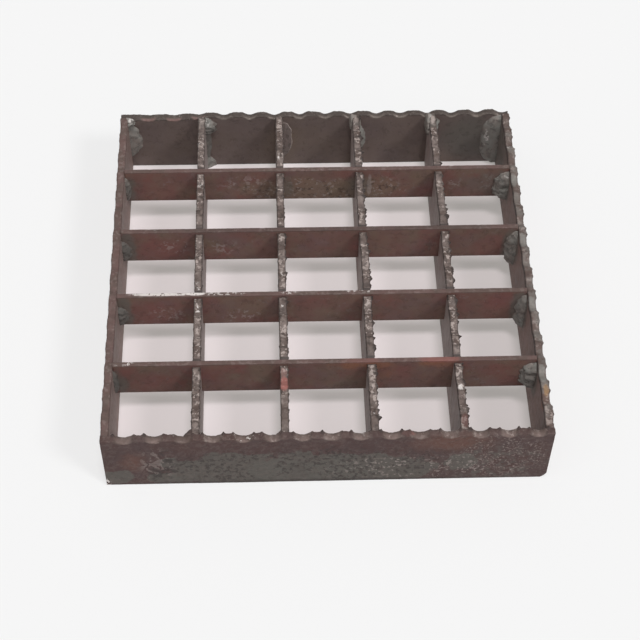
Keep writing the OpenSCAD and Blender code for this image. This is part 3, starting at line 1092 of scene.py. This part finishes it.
class GRATING_OT_bands(bpy.types.Operator):
    """Build the serrated bands across the front and the back"""

    bl_idname = "grating.bands"
    bl_label = "Bands"

    def execute(self, context):
        sizes, steel = context.scene.grating_serration, bpy.data.materials
        band_along_x(
            "band_front", sizes.front_first, steel["front_band_steel"], 11, nip=2.4 * MM,
            soft=0.3, ears=(0.6 * MM, 0.0), burr=(0.4 * MM, 0.0), spike=1.0 * MM, wear=(0.25, 1.0),
        )
        band_along_x(
            "band_back", sizes.back_first, steel["back_band_steel"], 12,
            shares=(0.35, 0.5, 0.7, 0.9, 1.2), stretch=1.22, slump=1.0 * MM, droop=1.3 * MM,
            soft=1.0, burr=(0.1 * MM, 0.1 * MM), wear=(1.0, 1.0), lit=(0.2 * MM, 1.1 * MM),
        )
        return {"FINISHED"}


class GRATING_OT_side_bars(bpy.types.Operator):
    """Build the serrated side bars"""

    bl_idname = "grating.side_bars"
    bl_label = "Side bars"

    def execute(self, context):
        left, right = (bpy.data.materials[side + "_bar_steel"] for side in ("left", "right"))
        bar_along_y("side_bar_left", left, 21, coarseness=0.3, share=0.5, soft=0.8,
                    swell=(0.15 * MM, 0.0), burr=(0.2 * MM, 0.1 * MM), wear=(1.0, 1.0),
                    rim=(0.5, 0.1))
        bar_along_y("side_bar_right", right, 22, coarseness=0.5, soft=0.6, swell=(0.0, 0.3 * MM),
                    ears=(0.0, 0.3 * MM), burr=(0.2 * MM, 0.3 * MM), wear=(1.0, 0.9),
                    rim=(0.9, 0.7))
        return {"FINISHED"}


class GRATING_OT_bearing_bars(bpy.types.Operator):
    """Build the serrated bearing bars, slotted for the cross bars"""

    bl_idname = "grating.bearing_bars"
    bl_label = "Bearing bars"

    def execute(self, context):
        slots = [(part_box(n)[0].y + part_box(n)[1].y) / 2 for n in CROSS_BARS]
        sway = context.scene.grating_surface.sway
        for number, node in enumerate(BEARING_BARS):
            rough = (0.35, 0.7, 1.0, 1.0)[number % 4]
            bar_along_y(
                node, bpy.data.materials["bearing_bar_steel"], 31 + number, sway, slots,
                soft=0.45, ears=(0.0, 0.8 * MM * rough), burr=(0.3 * MM, 1.5 * MM * rough),
                wear=(1.0, 0.9), rim=(0.9, 0.8),
            )
        return {"FINISHED"}


class GRATING_OT_cross_bars(bpy.types.Operator):
    """Build the plain cross bars"""

    bl_idname = "grating.cross_bars"
    bl_label = "Cross bars"

    def execute(self, context):
        for number, node in enumerate(CROSS_BARS):
            cross_bar(node, bpy.data.materials["cross_bar_steel"], 41 + number)
        return {"FINISHED"}


class GRATING_OT_welds(bpy.types.Operator):
    """Build the weld beads in the corners"""

    bl_idname = "grating.welds"
    bl_label = "Weld beads"

    def execute(self, context):
        left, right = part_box("side_bar_left")[1].x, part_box("side_bar_right")[0].x
        front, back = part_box("band_front")[1].y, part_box("band_back")[0].y
        faces = [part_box(n)[0].y for n in CROSS_BARS]
        foot, head = (corner.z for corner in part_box("cross_bar_1"))
        weld_piece("welds_right", [
            (right, y, -wide, -3.4, -low, -2.0, 0.25, 1.3, 3.2)
            for y, wide, low in zip(faces, (5.6, 3.8, 4.2, 6.0), (0.6, 5.0, 5.5, 1.5))
        ], foot, head)
        weld_piece("welds_left", [
            (left, y, wide, -2.2, 0, -high, 0.25, 1.25, 2.6)
            for y, wide, high in zip(faces, (1.8, 4.0, 3.6, 2.0), (3.0, 6.0, 5.0, 3.0))
        ], foot, head)
        starts, ends = ([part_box(n)[side].x for n in BEARING_BARS] for side in (0, 1))
        weld_piece("welds_front", [
            (left, front, 2.4, 2.4, 4, 27.0),
            (starts[0], front, -3.8, 5.0, 18, 30.4),
            (starts[1], front, -2.4, 3.4, 18, 30.2),
            (right, front, -2.4, 2.4, 4, 27.0),
        ])
        weld_piece("welds_back", [
            (left, back, 5.6, -2.2, 6, 27.5, 0.2),
            (left - 0.5 * MM, back, 3.4, -2.6, 25, 30.3, 0.3, 1.8),
            (ends[0], back, 4.6, -2.8, 19, 30.0, 0.25, 1.6),
            (ends[0], back, 2.0, -1.8, 2, 27, 0.3),
            (ends[0], back, 4.0, -2.2, -5, 6.5, 0.1, 1.0),
            (ends[1], back, 4.2, -1.1, 5, 27, 0.1, 1.25, 3.0),
            (starts[2] - 0.3 * MM, back, 4.2, -3.6, 22, 30.9, 0.2, 2.0),
            (ends[2], back, 3.4, -2.0, 7, 25, 0.15),
            (starts[3] - 0.4 * MM, back, 4.8, -6.5, 20, 31.0, 0.2, 2.0),
            (right, back, -7.6, -3.0, 0.1, 29.0, 0.08, 1.4, 4.0),
        ])
        return {"FINISHED"}


class GRATING_OT_stage(bpy.types.Operator):
    """Make the pale floor, the soft studio light and the camera"""

    bl_idname = "grating.stage"
    bl_label = "Stage"

    def execute(self, context):
        scene, stage = context.scene, context.scene.grating_stage
        scene.view_settings.view_transform = "Standard"
        self.floor(scene.grating_colours)
        self.light(scene, stage)
        data = bpy.data.cameras.new("camera")
        data.lens, data.sensor_width = stage.lens, 36.0
        data.clip_start, data.clip_end = 0.01, 50.0
        camera = bpy.data.objects.new("camera", data)
        camera.location, camera.rotation_euler = stage.camera_place, stage.camera_turn
        scene.collection.objects.link(camera)
        scene.camera = camera
        return {"FINISHED"}

    def floor(self, look):
        """A large floor that shows its own colour to the camera and keeps part of each shadow.

        Inside the panel's outline it is darker and warmer, painted shade and warm bounce light from
        the bars, and beyond the fourth bearing bar it has more painted shade.
        """
        bm = bmesh.new()
        bmesh.ops.create_grid(bm, x_segments=1, y_segments=1, size=4.0)
        bmesh.ops.translate(bm, vec=(0, 0, -0.05 * MM), verts=bm.verts)
        material = bpy.data.materials.new("pale_floor")
        nodes = Nodes(cleared_nodes(material))
        matt = nodes.add("BsdfDiffuse", Color=rgba(look.floor))
        reach = max(-CAD_BOX[0][0], CAD_BOX[1][1])
        place = nodes.place()
        across = nodes.add("SeparateXYZ", place).outputs["X"]
        away = nodes.add("SeparateXYZ", nodes.vector("ABSOLUTE", place)).outputs
        away = nodes.maths("MAXIMUM", away["X"], away["Y"])
        outside = nodes.ramp(away, reach - 4 * MM, reach)
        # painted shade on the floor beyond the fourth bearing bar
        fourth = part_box(BEARING_BARS[3])[0].x
        shaded = nodes.ramp(across, fourth, fourth + 3 * MM, 0.0, 0.22)
        # painted shade and warm bounce light on the floor inside the panel's outline
        warm = nodes.mix(shaded, rgba(look.floor_warm_bounce), rgba(look.pits_and_shade))
        lit = nodes.mix(outside, warm, rgba(look.floor_light))
        shade = nodes.mix(outside, rgba(look.floor_shade), rgba(look.floor_glow))
        shadow = nodes.add("BsdfDiffuse", Color=lit)
        glow = nodes.add("Emission", Color=shade, Strength=1.0)
        share = nodes.ramp(outside, 0.0, 1.0, 0.30, 0.65)
        seen = nodes.add("MixShader", share, shadow.outputs[0], glow.outputs[0])
        both = nodes.add("MixShader", nodes.shown_rays(), matt.outputs[0], seen.outputs[0])
        nodes.add("OutputMaterial", Surface=both.outputs[0])
        new_object(bm, "floor", material)

    def light(self, scene, stage):
        """Even light from all round, a light overhead, and softer ones from the front."""
        scene.world = bpy.data.worlds.new("studio")
        nodes = Nodes(cleared_nodes(scene.world))
        strength = nodes.ramp(nodes.shown_rays(), 0.0, 1.0, stage.surround, 1.0)
        sky = nodes.add("Background", Color=(1.0, 1.0, 1.0, 1.0), Strength=strength)
        nodes.add("OutputWorld", Surface=sky.outputs[0])
        for name, energy, softness, towards in (
            ("overhead", stage.overhead, stage.softness, (0.06, -0.25, 0.97)),
            ("key", stage.key, 1.2 * stage.softness, (0.56, -0.42, 0.71)),
            ("fill", stage.fill, 5 * stage.softness, (-0.48, -0.42, 0.77)),
        ):
            lamp = bpy.data.lights.new(name, "SUN")
            lamp.energy, lamp.angle = energy, softness
            light = bpy.data.objects.new(name, lamp)
            light.rotation_euler = Vector(towards).to_track_quat("Z", "Y").to_euler()
            scene.collection.objects.link(light)


class GRATING_PT_sidebar(bpy.types.Panel):
    """Lists the steps that build the grating panel"""

    bl_label = "Steel Grating"
    bl_space_type = "VIEW_3D"
    bl_region_type = "UI"
    bl_category = "Grating"

    def draw(self, context):
        for operator in STEPS:
            self.layout.operator(operator.bl_idname)
        for name in SETTINGS:
            box = self.layout.box()
            settings = getattr(context.scene, name)
            for prop in settings.bl_rna.properties:
                if not prop.is_readonly and prop.identifier != "name":
                    box.prop(settings, prop.identifier)


SETTINGS = {
    "grating_serration": GratingSerration,
    "grating_surface": GratingSurface,
    "grating_colours": GratingColours,
    "grating_stage": GratingStage,
}
STEPS = (
    GRATING_OT_finishes, GRATING_OT_bands, GRATING_OT_side_bars, GRATING_OT_bearing_bars,
    GRATING_OT_cross_bars, GRATING_OT_welds, GRATING_OT_stage,
)


def register():
    for cls in (*SETTINGS.values(), *STEPS, GRATING_PT_sidebar):
        bpy.utils.register_class(cls)
    for name, cls in SETTINGS.items():
        setattr(bpy.types.Scene, name, PointerProperty(type=cls))


def unregister():
    for name in SETTINGS:
        delattr(bpy.types.Scene, name)
    for cls in reversed((*SETTINGS.values(), *STEPS, GRATING_PT_sidebar)):
        bpy.utils.unregister_class(cls)


def main():
    register()
    bpy.ops.grating.finishes()
    bpy.ops.grating.bands()
    bpy.ops.grating.side_bars()
    bpy.ops.grating.bearing_bars()
    bpy.ops.grating.cross_bars()
    bpy.ops.grating.welds()
    bpy.ops.grating.stage()


if __name__ == "__main__":
    main()
